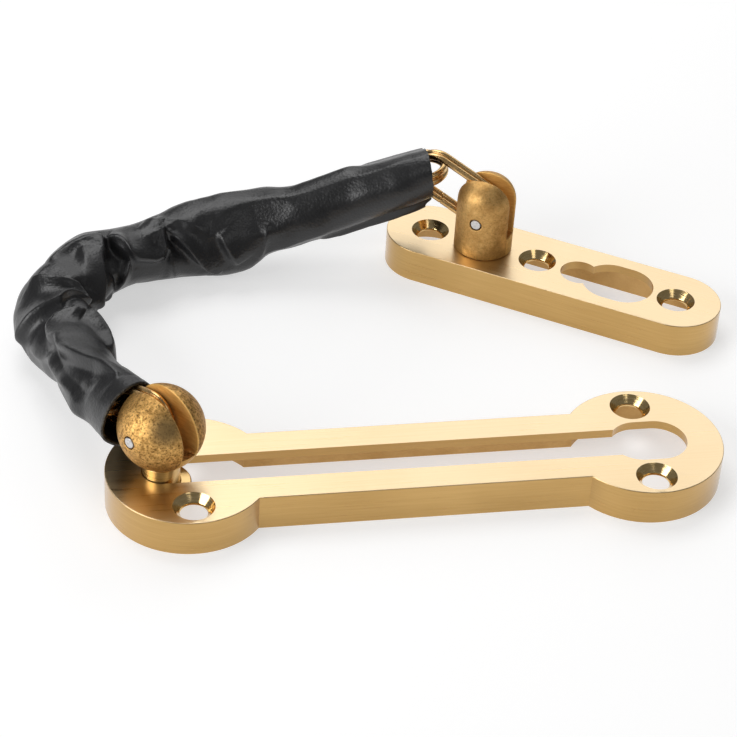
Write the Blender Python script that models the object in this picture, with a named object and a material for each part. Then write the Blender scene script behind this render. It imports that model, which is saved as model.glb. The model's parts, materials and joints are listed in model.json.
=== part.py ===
"""Door chain guard: a slotted track plate and an anchor plate joined by a chain in a leather sleeve.

Metres, +Z up.  Both plates lie on the plane z = 0 with their hollow backs down.  The track plate's
slot runs along X; the chain leaves the ball that runs in it, loops round on the surface and climbs
to the slotted post of the anchor plate.
"""
import bmesh
import bpy
from math import asin, cos, pi, radians, sin, sqrt
from mathutils import Matrix, Vector

# ---- frame: where the centre of the track plate's slotted end stands in plan ----
TRACK_X = -0.0407
TRACK_Y = -0.0316

# ---- both plates ----
PLATE_TOP = 0.0068          # height of the front face
SKIN = 0.0018               # thickness of the front skin, the lips of the slot included
WALL = 0.0012               # thickness of the rim round the hollow back
SCREW_RADIUS = 0.0024       # clearance hole of a number 6 wood screw
SINK_RADIUS = 0.00362       # countersink at the front face
SINK_DEPTH = 0.0014
OVERCUT = 0.002             # how far a cutter runs past what it cuts

# ---- track plate ----
TRACK_END_RADIUS = 0.0144
TRACK_LENGTH = 0.0812       # between the centres of the two round ends
TRACK_BAR_HALF = 0.00885    # half the width between the round ends
TRACK_SCREW_OFFSET = 0.00983
SLOT_HALF = 0.00367
KEYHOLE_RADIUS = 0.00545
KEYHOLE_BACK = -0.0006      # the keyhole's two centres, from the centre of its round end
KEYHOLE_FRONT = 0.0027

# ---- anchor plate ----
ANCHOR_X = 0.05526          # centre of its post end, from the track plate's slotted end
ANCHOR_Y = 0.06897
ANCHOR_TURN = radians(-32.8)
ANCHOR_HALF = 0.00864
ANCHOR_LENGTH = 0.0511      # between the centres of its round ends
ANCHOR_SCREWS = (0.0, 0.0226, 0.0510)
PARK_NECK_RADIUS = 0.00383  # the lobed slot that parks the ball
PARK_NECK = 0.0313
PARK_RADIUS = 0.00587
PARK_BACK = 0.0380
PARK_FRONT = 0.0405

# ---- post ----
POST_AT = 0.0111            # along the anchor plate from its post end's centre
POST_RADIUS = 0.0057
POST_TOP = 0.0226
POST_SLIT_FLOOR = 0.01056
POST_PIN_HEIGHT = 0.0147
DOME_HEIGHT = 0.0055

# ---- ball and the foot that it turns on ----
BALL_AT = -0.00463          # along the slot from the track plate's slotted end's centre
BALL_RADIUS = 0.0076
BALL_HEIGHT = 0.0164
BALL_PIN_HEIGHT = 0.0170
BALL_SLIT_DEPTH = 0.0048    # saw cut below the pin, square to its sloping floor
BALL_SLIT_SLOPE = radians(15)   # the floor runs down towards the chain
BALL_TURN = radians(127)    # heading in which the chain leaves the ball
NECK_RADIUS = 0.0033
NECK_TOP = 0.0092
FLANGE_RADIUS = 0.00525
FLANGE_THICKNESS = 0.0014
SPIGOT_RADIUS = 0.0014
RIVET_SEAT = 0.0103         # floor of the counterbore that the riveted head sits in
RIVET_RADIUS = 0.0021
RIVET_THICKNESS = 0.0006

# ---- fits ----
GAP = 0.0003                # between pieces that touch on the real object
SLIT = 0.0033               # width of the saw cuts in the ball and the post
PIN_RADIUS = 0.0010

# ---- chain: pairs of wire loops, standing and lying in turn ----
WIRE = 0.0013               # wire diameter
LINK_INSIDE = 0.0168        # inner length of a loop
LINK_WIDTH = 0.0097         # outer width of a loop
PAIR_SPACING = 0.0015       # between the two loops of a link
LINK_COUNT = 11             # an odd number: the first and the last link both stand upright
LINK_LIFT = 0.0008          # how far an end link sits above the middle of its pin
END_LINK = 0.01616          # pin to the middle of the far end wire, along the link
LAST_LYING_SHIFT = 0.0012   # how far the last lying link is pushed towards the post
LAST_CROSSING = 0.0015      # and how far below the middle of the last link's wire it crosses it
LINK_TILT = radians(23)     # how steeply the last link climbs from the post
FIRST_LINK_DROP = radians(13)
WIRE_SIDES = 6
LINK_END_STEPS = 6

# ---- leather sleeve ----
SLEEVE_RADIUS = 0.0061
SLEEVE_WALL = 0.0007
SLEEVE_SIDES = 16
MOUTH_FROM_PIN = 0.0070     # ball's pin to the mouth of the sleeve
MOUTH_FROM_LAST = 0.0018    # mouth at the post to the last joint of the chain

# The route of the chain between its first and its last joint, in plan from the track plate's
# slotted end, and its height: down from the ball, round on the surface, and up to the post.
ROUTE = (
    (-0.0160, 0.0245, 0.0106),
    (-0.0183, 0.0362, 0.0080),
    (-0.0194, 0.0455, 0.0069),
    (-0.0178, 0.0535, 0.0066),
    (-0.0133, 0.0603, 0.0065),
    (-0.0068, 0.0648, 0.0065),
    (0.0013, 0.0672, 0.0067),
    (0.0100, 0.0685, 0.0074),
    (0.0205, 0.0692, 0.0095),
    (0.0320, 0.0693, 0.0132),
    (0.0425, 0.0692, 0.0177),
)

UP = Vector((0, 0, 1))
TRACK = Vector((TRACK_X, TRACK_Y, 0))
ANCHOR = TRACK + Vector((ANCHOR_X, ANCHOR_Y, 0))
ALONG_ANCHOR = Vector((cos(ANCHOR_TURN), sin(ANCHOR_TURN), 0))
BALL = TRACK + Vector((BALL_AT, 0, 0))
FROM_BALL = Vector((cos(BALL_TURN), sin(BALL_TURN), 0))
POST = ANCHOR + POST_AT * ALONG_ANCHOR


# ---------------------------------------------------------------- scene helpers
def clear_scene():
    for old in list(bpy.data.objects):
        bpy.data.objects.remove(old, do_unlink=True)


def material(name, colour, metallic, roughness):
    """A plain Principled material."""
    made = bpy.data.materials.new(name)
    made.use_nodes = True
    shader = made.node_tree.nodes["Principled BSDF"]
    shader.inputs["Base Color"].default_value = (*colour, 1.0)
    shader.inputs["Metallic"].default_value = metallic
    shader.inputs["Roughness"].default_value = roughness
    return made


def joint_empty(name, place, parent=None):
    """An empty on a joint's axis, which carries the pieces that move about it."""
    empty = bpy.data.objects.new(name, None)
    bpy.context.collection.objects.link(empty)
    empty.empty_display_size = 0.004
    empty.parent = parent
    start = parent.matrix_world.translation if parent else Vector()
    empty.location = Vector(place) - start
    bpy.context.view_layer.update()
    return empty


def add_object(name, shape, finish=None, parent=None, place=(0, 0, 0), turn=0.0):
    """Make an object of a bmesh; its place and its turn about Z are given in the parent's frame."""
    bmesh.ops.recalc_face_normals(shape, faces=shape.faces)
    mesh = bpy.data.meshes.new(name)
    shape.to_mesh(mesh)
    shape.free()
    made = bpy.data.objects.new(name, mesh)
    bpy.context.collection.objects.link(made)
    made.parent = parent
    made.location = place
    made.rotation_euler = (0, 0, turn)
    if finish:
        mesh.materials.append(finish)
    mesh.shade_smooth()
    mesh.set_sharp_from_angle(angle=radians(30))
    return made


def cut(target, shape, name):
    """Take a shape, given in the target's own frame, out of the target."""
    cutter = add_object(name, shape, parent=target)
    cutter.display_type = "WIRE"
    cutter.hide_render = True
    modifier = target.modifiers.new(name, "BOOLEAN")
    modifier.operation = "DIFFERENCE"
    modifier.solver = "EXACT"
    modifier.object = cutter


# ---------------------------------------------------------------- shapes
def arc(centre_x, radius, start, end, steps):
    """Points along an arc whose centre is on the X axis."""
    angles = [start + (end - start) * i / steps for i in range(steps + 1)]
    return [(centre_x + radius * cos(a), radius * sin(a)) for a in angles]


def stadium(x_start, x_end, radius, steps=20):
    """Outline of two half circles joined by straight sides."""
    right = arc(x_end, radius, -pi / 2, pi / 2, steps)
    left = arc(x_start, radius, pi / 2, 3 * pi / 2, steps)
    return right + left


def dog_bone(length, end_radius, bar_half, steps=40):
    """Outline of two round ends that stand out past the bar between them."""
    meet = asin(bar_half / end_radius)
    right = arc(length, end_radius, meet - pi, pi - meet, steps)
    left = arc(0, end_radius, meet, 2 * pi - meet, steps)
    return right + left


def prism(outline, bottom, top):
    """A closed solid with the outline as its plan."""
    shape = bmesh.new()
    floor = shape.faces.new([shape.verts.new((x, y, bottom)) for x, y in outline])
    risen = bmesh.ops.extrude_face_region(shape, geom=[floor])["geom"]
    verts = [v for v in risen if isinstance(v, bmesh.types.BMVert)]
    bmesh.ops.translate(shape, verts=verts, vec=(0, 0, top - bottom))
    return shape


def moved(shape, matrix):
    bmesh.ops.transform(shape, matrix=matrix, verts=shape.verts)
    return shape


def box(low, high):
    """A block between two opposite corners."""
    shape = bmesh.new()
    bmesh.ops.create_cube(shape, size=1)
    size = Vector(high) - Vector(low)
    middle = (Vector(high) + Vector(low)) / 2
    return moved(shape, Matrix.Translation(middle) @ Matrix.Diagonal((*size, 1)))


def turned(profile, sides=32):
    """A solid of revolution about Z from (radius, height) points, axis to axis."""
    shape = bmesh.new()
    rings = []
    for radius, height in profile:
        count = 1 if radius == 0 else sides
        angles = [2 * pi * i / sides for i in range(count)]
        rings.append([shape.verts.new((radius * cos(a), radius * sin(a), height)) for a in angles])
    for lower, upper in zip(rings, rings[1:]):
        for i in range(sides):
            j = (i + 1) % sides
            corners = [lower[i % len(lower)], lower[j % len(lower)],
                       upper[j % len(upper)], upper[i % len(upper)]]
            shape.faces.new(list(dict.fromkeys(corners)))
    return shape


def tube(path, radius, sides):
    """A closed ring of round wire along a flat closed path of (x, y) points."""
    shape = bmesh.new()
    count = len(path)
    rings = []
    for i, (x, y) in enumerate(path):
        before = Vector(path[i - 1])
        after = Vector(path[(i + 1) % count])
        side = Vector((after.y - before.y, before.x - after.x)).normalized()
        ring = []
        for k in range(sides):
            out = radius * cos(2 * pi * k / sides)
            height = radius * sin(2 * pi * k / sides)
            ring.append(shape.verts.new((x + side.x * out, y + side.y * out, height)))
        rings.append(ring)
    skin(shape, rings, closed=True)
    return shape


def skin(shape, rings, closed):
    """Join neighbouring rings of equal length with quads."""
    pairs = list(zip(rings, rings[1:] + rings[:1])) if closed else list(zip(rings, rings[1:]))
    for first, second in pairs:
        for k in range(len(first)):
            following = (k + 1) % len(first)
            shape.faces.new((first[k], first[following], second[following], second[k]))


# ---------------------------------------------------------------- plates
def countersink(x, y):
    """Cutter for one countersunk screw hole through the front skin."""
    slope = (SINK_RADIUS - SCREW_RADIUS) / SINK_DEPTH
    profile = (
        (0, PLATE_TOP - SKIN - OVERCUT),
        (SCREW_RADIUS, PLATE_TOP - SKIN - OVERCUT),
        (SCREW_RADIUS, PLATE_TOP - SINK_DEPTH),
        (SINK_RADIUS + slope * OVERCUT, PLATE_TOP + OVERCUT),
        (0, PLATE_TOP + OVERCUT),
    )
    return moved(turned(profile), Matrix.Translation((x, y, 0)))


def round_cutter(x, radius, low, high):
    """Cutter for a plain round hole on the X axis."""
    profile = ((0, low), (radius, low), (radius, high), (0, high))
    return moved(turned(profile), Matrix.Translation((x, 0, 0)))


def make_track_plate(brass):
    """Dog-bone plate, hollow behind, with the slot that ends in a keyhole."""
    outline = dog_bone(TRACK_LENGTH, TRACK_END_RADIUS, TRACK_BAR_HALF)
    plate = add_object("track_plate", prism(outline, 0, PLATE_TOP), brass, place=TRACK)
    hollow = dog_bone(TRACK_LENGTH, TRACK_END_RADIUS - WALL, TRACK_BAR_HALF - WALL)
    cut(plate, prism(hollow, -OVERCUT, PLATE_TOP - SKIN), "track_hollow")
    low = PLATE_TOP - SKIN - OVERCUT
    high = PLATE_TOP + OVERCUT
    cut(plate, prism(stadium(BALL_AT, TRACK_LENGTH, SLOT_HALF), low, high), "track_slot")
    keyhole = stadium(TRACK_LENGTH + KEYHOLE_BACK, TRACK_LENGTH + KEYHOLE_FRONT, KEYHOLE_RADIUS)
    cut(plate, prism(keyhole, low, high), "track_keyhole")
    for number, x in enumerate((0, TRACK_LENGTH)):
        for side in (-1, 1):
            cut(plate, countersink(x, side * TRACK_SCREW_OFFSET), f"track_screw_{number}_{side}")
    return plate


def make_anchor_plate(brass, parent, place):
    """Straight plate with round ends, hollow behind, with three screw holes and a parking slot."""
    outline = stadium(0, ANCHOR_LENGTH, ANCHOR_HALF, steps=24)
    solid = prism(outline, 0, PLATE_TOP)
    plate = add_object("anchor_plate", solid, brass, parent, place, ANCHOR_TURN)
    hollow = stadium(0, ANCHOR_LENGTH, ANCHOR_HALF - WALL, steps=24)
    cut(plate, prism(hollow, -OVERCUT, PLATE_TOP - SKIN), "anchor_hollow")
    low = PLATE_TOP - SKIN - OVERCUT
    high = PLATE_TOP + OVERCUT
    cut(plate, prism(stadium(PARK_BACK, PARK_FRONT, PARK_RADIUS), low, high), "park_slot")
    cut(plate, round_cutter(PARK_NECK, PARK_NECK_RADIUS, low, high), "park_neck")
    cut(plate, round_cutter(POST_AT, SPIGOT_RADIUS + GAP, low, high), "post_rivet_hole")
    for number, x in enumerate(ANCHOR_SCREWS):
        cut(plate, countersink(x, 0), f"anchor_screw_{number}")
    return plate


# ---------------------------------------------------------------- post, ball, foot and pins
def dome(radius, base, height, steps=7):
    """Profile points of a dome a little squarer than an ellipse, rim to crown."""
    points = []
    for i in range(1, steps):
        angle = pi / 2 * i / steps
        points.append((radius * cos(angle) ** 0.85, base + height * sin(angle) ** 0.85))
    return points + [(0, base + height)]


def rivet_profile():
    """The riveted tail under the anchor plate's skin, up to the underside of the post."""
    under = PLATE_TOP - SKIN - GAP
    tail = RIVET_RADIUS + GAP
    return [(0, under - RIVET_THICKNESS * 2), (tail, under - RIVET_THICKNESS * 2), (tail, under),
            (SPIGOT_RADIUS, under), (SPIGOT_RADIUS, PLATE_TOP + GAP)]


def make_post(brass, parent, place):
    """Domed post, riveted to the plate, sawn through along the plate for the last link."""
    shoulder = POST_TOP - DOME_HEIGHT
    profile = rivet_profile() + [(POST_RADIUS, PLATE_TOP + GAP), (POST_RADIUS, shoulder)]
    profile += dome(POST_RADIUS, shoulder, DOME_HEIGHT)
    post = add_object("post", turned(profile), brass, parent, place, ANCHOR_TURN)
    reach = POST_RADIUS + OVERCUT
    slit = box((-reach, -SLIT / 2, POST_SLIT_FLOOR), (reach, SLIT / 2, POST_TOP + OVERCUT))
    cut(post, slit, "post_slit")
    cut(post, pin_shape(PIN_RADIUS + GAP, reach, POST_PIN_HEIGHT), "post_pin_hole")
    return post


def pin_shape(radius, half_length, height):
    """A cylinder along Y through the Z axis."""
    shape = turned(((0, -half_length), (radius, -half_length), (radius, half_length), (0, half_length)), 20)
    return moved(shape, Matrix.Translation((0, 0, height)) @ Matrix.Rotation(pi / 2, 4, "X"))


def make_ball(brass, parent):
    """Ball with a saw cut for the first link, which turns on the foot's spigot."""
    steps = 18
    profile = []
    for i in range(steps + 1):
        angle = pi * i / steps
        radius = 0 if i in (0, steps) else BALL_RADIUS * sin(angle)
        profile.append((radius, BALL_HEIGHT - BALL_RADIUS * cos(angle)))
    ball = add_object("ball", turned(profile), brass, parent, turn=BALL_TURN)
    reach = BALL_RADIUS + OVERCUT
    slit = box((-2 * reach, -SLIT / 2, -BALL_SLIT_DEPTH), (2 * reach, SLIT / 2, 2 * reach))
    slope = Matrix.Rotation(BALL_SLIT_SLOPE, 4, "Y")
    cut(ball, moved(slit, Matrix.Translation((0, 0, BALL_PIN_HEIGHT)) @ slope), "ball_slit")
    cut(ball, pin_shape(PIN_RADIUS + GAP, reach, BALL_PIN_HEIGHT), "ball_pin_hole")
    cut(ball, turned(foot_room()), "ball_bore")
    return ball


def foot_room():
    """The room in the ball for the neck's top, the spigot and its riveted head."""
    low = BALL_HEIGHT - BALL_RADIUS - OVERCUT
    high = BALL_PIN_HEIGHT - PIN_RADIUS
    neck = NECK_RADIUS + GAP
    bore = SPIGOT_RADIUS + GAP
    seat = RIVET_RADIUS + GAP
    return ((0, low), (neck, low), (neck, NECK_TOP + GAP), (bore, NECK_TOP + GAP),
            (bore, RIVET_SEAT), (seat, RIVET_SEAT), (seat, high), (0, high))


def make_foot(brass, parent):
    """Flange that runs behind the lips, neck in the slot, and the spigot that the ball turns on."""
    flange_top = PLATE_TOP - SKIN - GAP
    head = RIVET_SEAT + GAP
    profile = ((0, flange_top - FLANGE_THICKNESS), (FLANGE_RADIUS, flange_top - FLANGE_THICKNESS),
               (FLANGE_RADIUS, flange_top), (NECK_RADIUS, flange_top), (NECK_RADIUS, NECK_TOP),
               (SPIGOT_RADIUS, NECK_TOP), (SPIGOT_RADIUS, head), (RIVET_RADIUS, head),
               (RIVET_RADIUS, head + RIVET_THICKNESS), (0, head + RIVET_THICKNESS))
    return add_object("slider_foot", turned(profile), brass, parent)


# ---------------------------------------------------------------- chain
def smooth_route(points, steps=24):
    """Catmull-Rom curve through the points, as closely spaced vectors."""
    padded = [2 * points[0] - points[1]] + points + [2 * points[-1] - points[-2]]
    curve = []
    for a, b, c, d in zip(padded, padded[1:], padded[2:], padded[3:]):
        for i in range(steps):
            t = i / steps
            curve.append(0.5 * (2 * b + (c - a) * t + (2 * a - 5 * b + 4 * c - d) * t ** 2
                                + (3 * b - a - 3 * c + d) * t ** 3))
    return curve + [points[-1]]


def step_along(curve, start_index, start, chord):
    """The first place on the curve that is a chord away from start."""
    for i in range(start_index, len(curve)):
        if (curve[i] - start).length >= chord:
            before, after = curve[i - 1], curve[i]
            near, far = (before - start).length, (after - start).length
            return i, before.lerp(after, (chord - near) / (far - near))
    left_over = chord - (curve[-1] - start).length
    return len(curve), curve[-1] + (curve[-1] - curve[-2]).normalized() * left_over


def walk(curve, lying):
    """Joints between the first and the last, for lying links of a given length."""
    standing = LINK_INSIDE + WIRE
    index, place = 0, curve[0]
    joints = [place]
    for number in range(2, LINK_COUNT):
        chord = lying if number % 2 == 0 else standing
        index, place = step_along(curve, index, place, chord)
        joints.append(place)
    return joints


def last_link_end(post_pin):
    """The middle of the last link's raised end wire, where the link leans up from the post."""
    return post_pin + END_LINK * (UP * sin(LINK_TILT) - ALONG_ANCHOR * cos(LINK_TILT))


def chain_joints():
    """Every joint of the chain, from the ball's pin to the post's pin.

    A standing link is as long as its end wires are apart; how much play the lying links have
    between their neighbours follows from the length of the route, and is found by halving.
    """
    ball_pin = BALL + UP * BALL_PIN_HEIGHT
    post_pin = POST + UP * POST_PIN_HEIGHT
    first = ball_pin + END_LINK * (FROM_BALL * cos(FIRST_LINK_DROP) - UP * sin(FIRST_LINK_DROP))
    last = last_link_end(post_pin) - UP * LAST_CROSSING
    curve = smooth_route([first] + [TRACK + Vector(point) for point in ROUTE] + [last])
    short, long = 0.3 * LINK_INSIDE, LINK_INSIDE
    for _ in range(40):
        middle = (short + long) / 2
        joints = walk(curve, middle)
        passed = (joints[-1] - joints[-2]).dot(last - joints[-1]) < 0
        short, long = (short, middle) if passed else (middle, long)
    return [ball_pin] + joints[:-1] + [last, post_pin]


def link_frame(start, end, standing):
    """Axes of a link: X along it, Y across its loops, Z through them."""
    along = (end - start).normalized()
    level = UP.cross(along).normalized()
    across = along.cross(level) if standing else level
    through = along.cross(across)
    return Matrix((along, across, through)).transposed().to_4x4()


def link_loop():
    """One closed wire loop of a link, centred on the origin and flat in X and Y."""
    radius = (LINK_WIDTH - WIRE) / 2
    straight = (LINK_INSIDE + WIRE) / 2 - radius
    path = stadium(-straight, straight, radius, LINK_END_STEPS)
    return tube(path, WIRE / 2, WIRE_SIDES)


def link_centre(number, length):
    """The middle of a link: along it from its first joint, and across its loops."""
    half = (LINK_INSIDE + WIRE) / 2
    if number == 1:
        return length - half, LINK_LIFT
    if number == LINK_COUNT:
        return half, LINK_LIFT
    if number == LINK_COUNT - 1:
        return length / 2 + LAST_LYING_SHIFT, 0
    return length / 2, 0


def make_link(number, start, end, brass, parent):
    """The two wire loops that make one link."""
    forward, lift = link_centre(number, (end - start).length)
    frame = link_frame(start, end, standing=number % 2 == 1)
    frame.translation = start - parent.matrix_world.translation
    for side, letter in ((-1, "a"), (1, "b")):
        centre = Matrix.Translation((forward, lift, side * PAIR_SPACING / 2))
        add_object(f"link_{number:02d}_{letter}", moved(link_loop(), frame @ centre), brass, parent)


# ---------------------------------------------------------------- sleeve
def sleeve_ring(shape, centre, along, cut_normal, radius, origin):
    """A ring of the sleeve where a slanting plane cuts its tube."""
    level = UP.cross(along).normalized()
    rise = along.cross(level)
    ring = []
    for k in range(SLEEVE_SIDES):
        angle = 2 * pi * k / SLEEVE_SIDES
        out = radius * (cos(angle) * level + sin(angle) * rise)
        shift = -out.dot(cut_normal) / along.dot(cut_normal)
        ring.append(shape.verts.new(centre + out + shift * along - origin))
    return ring


def make_sleeve(number, start, end, before, after, leather, parent):
    """One stretch of the leather sleeve, mitred to its neighbours."""
    along = (end - start).normalized()
    cut_start = (along + (before or along)).normalized()
    cut_end = (along + (after or along)).normalized()
    near = start + along * GAP / 2
    far = end - along * GAP / 2
    origin = parent.matrix_world.translation
    shape = bmesh.new()
    inner = SLEEVE_RADIUS - SLEEVE_WALL
    rings = [sleeve_ring(shape, near, along, cut_start, SLEEVE_RADIUS, origin),
             sleeve_ring(shape, far, along, cut_end, SLEEVE_RADIUS, origin),
             sleeve_ring(shape, far, along, cut_end, inner, origin),
             sleeve_ring(shape, near, along, cut_start, inner, origin)]
    skin(shape, rings, closed=True)
    add_object(f"sleeve_{number:02d}", shape, leather, parent)


# ---------------------------------------------------------------- assembly
def make_chain(joints, brass, leather, ball_empty):
    """Links and sleeve, each link on an empty at the joint it swings about."""
    directions = [(b - a).normalized() for a, b in zip(joints, joints[1:])]
    parent = ball_empty
    for number in range(1, LINK_COUNT + 1):
        start, end = joints[number - 1], joints[number]
        parent = joint_empty(f"link_{number:02d}_joint", start, parent)
        if number == LINK_COUNT:
            make_link(number, last_link_end(end), end, brass, parent)
            break
        make_link(number, start, end, brass, parent)
        along = directions[number - 1]
        before = directions[number - 2] if number > 1 else None
        after = directions[number] if number < LINK_COUNT - 1 else None
        if number == 1:
            start, end = start + along * MOUTH_FROM_PIN + UP * LINK_LIFT, end + UP * LINK_LIFT
        if number == LINK_COUNT - 1:
            end = end - along * MOUTH_FROM_LAST
        make_sleeve(number, start, end, before, after, leather, parent)
    return parent


def build():
    clear_scene()
    brushed = material("brushed_brass", (0.80, 0.60, 0.30), 1.0, 0.32)
    antique = material("antique_brass", (0.55, 0.38, 0.17), 1.0, 0.42)
    wire = material("brass_wire", (0.72, 0.52, 0.25), 1.0, 0.25)
    steel = material("steel", (0.62, 0.61, 0.60), 1.0, 0.35)
    leather = material("black_leather", (0.03, 0.03, 0.032), 0.0, 0.5)

    make_track_plate(brushed)
    foot_empty = joint_empty("foot_slide", BALL)
    make_foot(wire, foot_empty)
    ball_empty = joint_empty("ball_turn", BALL, foot_empty)
    make_ball(antique, ball_empty)
    ball_pin = add_object("ball_pin", pin_shape(PIN_RADIUS, pin_reach(BALL_RADIUS), BALL_PIN_HEIGHT),
                          steel, ball_empty)
    ball_pin.rotation_euler = (0, 0, BALL_TURN)

    joints = chain_joints()
    last_link = make_chain(joints, wire, leather, ball_empty)
    anchor_empty = joint_empty("anchor_tilt", joints[-1], last_link)
    make_anchor_plate(brushed, anchor_empty, ANCHOR - joints[-1])
    post_place = POST - joints[-1]
    make_post(antique, anchor_empty, post_place)
    post_pin = pin_shape(PIN_RADIUS, pin_reach(POST_RADIUS), POST_PIN_HEIGHT)
    add_object("post_pin", post_pin, steel, anchor_empty, post_place, ANCHOR_TURN)


def pin_reach(radius):
    """Half the length of a pin that ends just inside a round surface."""
    return sqrt(radius ** 2 - PIN_RADIUS ** 2) - GAP / 2


build()
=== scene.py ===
import json
from math import asin, acos, cos, pi, radians, sin, sqrt

import bmesh
import bpy
import numpy as np
from mathutils import Matrix, Vector, noise


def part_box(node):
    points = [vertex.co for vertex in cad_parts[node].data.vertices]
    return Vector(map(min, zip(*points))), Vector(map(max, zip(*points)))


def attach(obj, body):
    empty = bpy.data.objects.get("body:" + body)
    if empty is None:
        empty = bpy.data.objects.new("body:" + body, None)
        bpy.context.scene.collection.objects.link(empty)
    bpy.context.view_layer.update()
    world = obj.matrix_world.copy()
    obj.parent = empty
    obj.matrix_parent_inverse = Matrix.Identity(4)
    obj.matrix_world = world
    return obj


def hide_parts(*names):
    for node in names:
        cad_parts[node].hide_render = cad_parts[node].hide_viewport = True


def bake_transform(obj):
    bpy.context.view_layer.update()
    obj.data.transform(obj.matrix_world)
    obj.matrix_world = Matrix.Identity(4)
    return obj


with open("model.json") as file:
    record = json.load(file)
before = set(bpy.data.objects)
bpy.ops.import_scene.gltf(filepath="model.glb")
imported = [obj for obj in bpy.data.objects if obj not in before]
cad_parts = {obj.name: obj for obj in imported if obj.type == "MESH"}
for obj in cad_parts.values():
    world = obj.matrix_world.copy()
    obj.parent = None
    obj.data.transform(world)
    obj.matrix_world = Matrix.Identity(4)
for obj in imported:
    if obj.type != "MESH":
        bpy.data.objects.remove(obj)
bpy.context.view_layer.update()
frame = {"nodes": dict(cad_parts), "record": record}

MM = 0.001
JOINT = {j["name"]: Vector(j["pos_m"]) for j in frame["record"]["behaviour"]["joints"] if "pos_m" in j}

# ---- plates, as in the CAD ----
PLATE_TOP = 6.8 * MM
SKIN = 1.8 * MM
WALL = 1.2 * MM
SCREW_RADIUS = 2.4 * MM
SINK_RADIUS = 3.62 * MM
SINK_DEPTH = 1.4 * MM
EDGE = 0.16 * MM                # rounding of the plates' edges
TRACK_END = 14.4 * MM
TRACK_LENGTH = 81.2 * MM
TRACK_BAR = 8.85 * MM
TRACK_SCREW = 9.83 * MM
SLOT_HALF = 3.67 * MM
SLOT_START = -4.63 * MM
KEYHOLE = (-0.6 * MM, 2.7 * MM, 5.45 * MM)
ANCHOR_HALF = 8.64 * MM
ANCHOR_LENGTH = 51.1 * MM
ANCHOR_SCREWS = (0.0, 22.6 * MM, 51.0 * MM)
PARK_NECK = (31.3 * MM, 3.83 * MM)
PARK_WIDE = (38.0 * MM, 40.5 * MM, 5.87 * MM)
POST_AT = 11.1 * MM

# ---- post, ball, foot and pins ----
POST_RADIUS = 5.7 * MM
POST_TOP = 22.6 * MM
POST_SLIT_FLOOR = 10.56 * MM
DOME = 5.5 * MM
DOME_POWER = 0.85               # 1 is an ellipse; a smaller one is fuller
POST_LIFT = 0.05 * MM
POST_VOXEL = 0.16 * MM
BALL_RADIUS = 7.6 * MM
BALL_HEIGHT = 16.4 * MM
BALL_SLIT_DEPTH = 4.8 * MM
BALL_SLIT_SLOPE = radians(15)
BALL_VOXEL = 0.17 * MM
SLIT = 3.3 * MM
SLIT_MARGIN = 0.12 * MM
BALL_PAINTED_REFLECTION = Vector((0.2, -6.3, 20.6)) * MM     # a painted dark reflection on the ball, measured from below the ball's middle
# size of the painted dark reflection on the ball
PAINTED_REFLECTION_SIZE = 3.4 * MM
PIN_RADIUS = 1.0 * MM
PIN_ROOM = 0.2 * MM             # wider hole round a pin
PIN_BACK = 0.1 * MM             # how far a pin's ends stay behind the surface
PIN_CROWN = 0.06 * MM
NECK_RADIUS = 3.3 * MM
NECK_TOP = 9.2 * MM
NECK_ROOM = 0.1 * MM
FLANGE_RADIUS = 5.25 * MM
FLANGE = 1.4 * MM
FLANGE_ROOM = 0.3 * MM
SPIGOT_RADIUS = 1.4 * MM
# radius and height along the spigot's riveted head
RIVET = ((2.1 * MM, 10.6 * MM), (2.0 * MM, 11.1 * MM), (1.3 * MM, 11.2 * MM), (0, 11.25 * MM))
REMESH_SCALE = 100              # the voxel remesher gets a mesh this many times larger

# ---- chain ----
WIRE = 1.3 * MM
LINK_INSIDE = 16.8 * MM
LINK_WIDTH = 9.7 * MM
PAIR_SPACING = 1.5 * MM
LINKS = 11
LINK_BEND = (LINK_WIDTH - WIRE) / 2                     # radius of a loop's round ends
LINK_STRAIGHT = (LINK_INSIDE + WIRE) / 2 - LINK_BEND    # half the length of its straight sides
SEAMS = (0.30, 0.36)            # where the wires of the last link meet, along a straight side
SEAM_STEPS = (-0.28, -0.14, -0.05, 0.05, 0.14, 0.28)    # cross-sections near it, in millimetres
SEAM_NOTCH = (0.08 * MM, 0.84)  # reach to each side of a seam, and how thick the wire is there
SEAM_BULGE = (0.20 * MM, 1.03)

FLOOR_DROP = 0.05 * MM          # the floor lies this far under the plates

# ---- where things are ----
track_low, track_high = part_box("track_plate")
TRACK = Vector((track_low.x + TRACK_END, (track_low.y + track_high.y) / 2, 0))
foot_low, foot_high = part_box("slider_foot")
BALL = Vector(((foot_low.x + foot_high.x) / 2, (foot_low.y + foot_high.y) / 2, 0))
BALL_PIN = JOINT["chain_lift"]
POST_PIN = JOINT["anchor_tilt"]
CHAIN = [BALL_PIN] + [JOINT[f"link_{n:02d}_swing"] for n in range(2, LINKS + 1)] + [POST_PIN]
FROM_BALL = (CHAIN[1] - CHAIN[0]).to_2d().normalized().to_3d()
ALONG_ANCHOR = (CHAIN[11] - CHAIN[10]).to_2d().normalized().to_3d()
POST = Vector((POST_PIN.x, POST_PIN.y, 0))
ANCHOR = POST - POST_AT * ALONG_ANCHOR
ANCHOR_TURN = ALONG_ANCHOR.to_2d().angle_signed(Vector((1, 0)))
BALL_TURN = FROM_BALL.to_2d().angle_signed(Vector((1, 0)))


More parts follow.
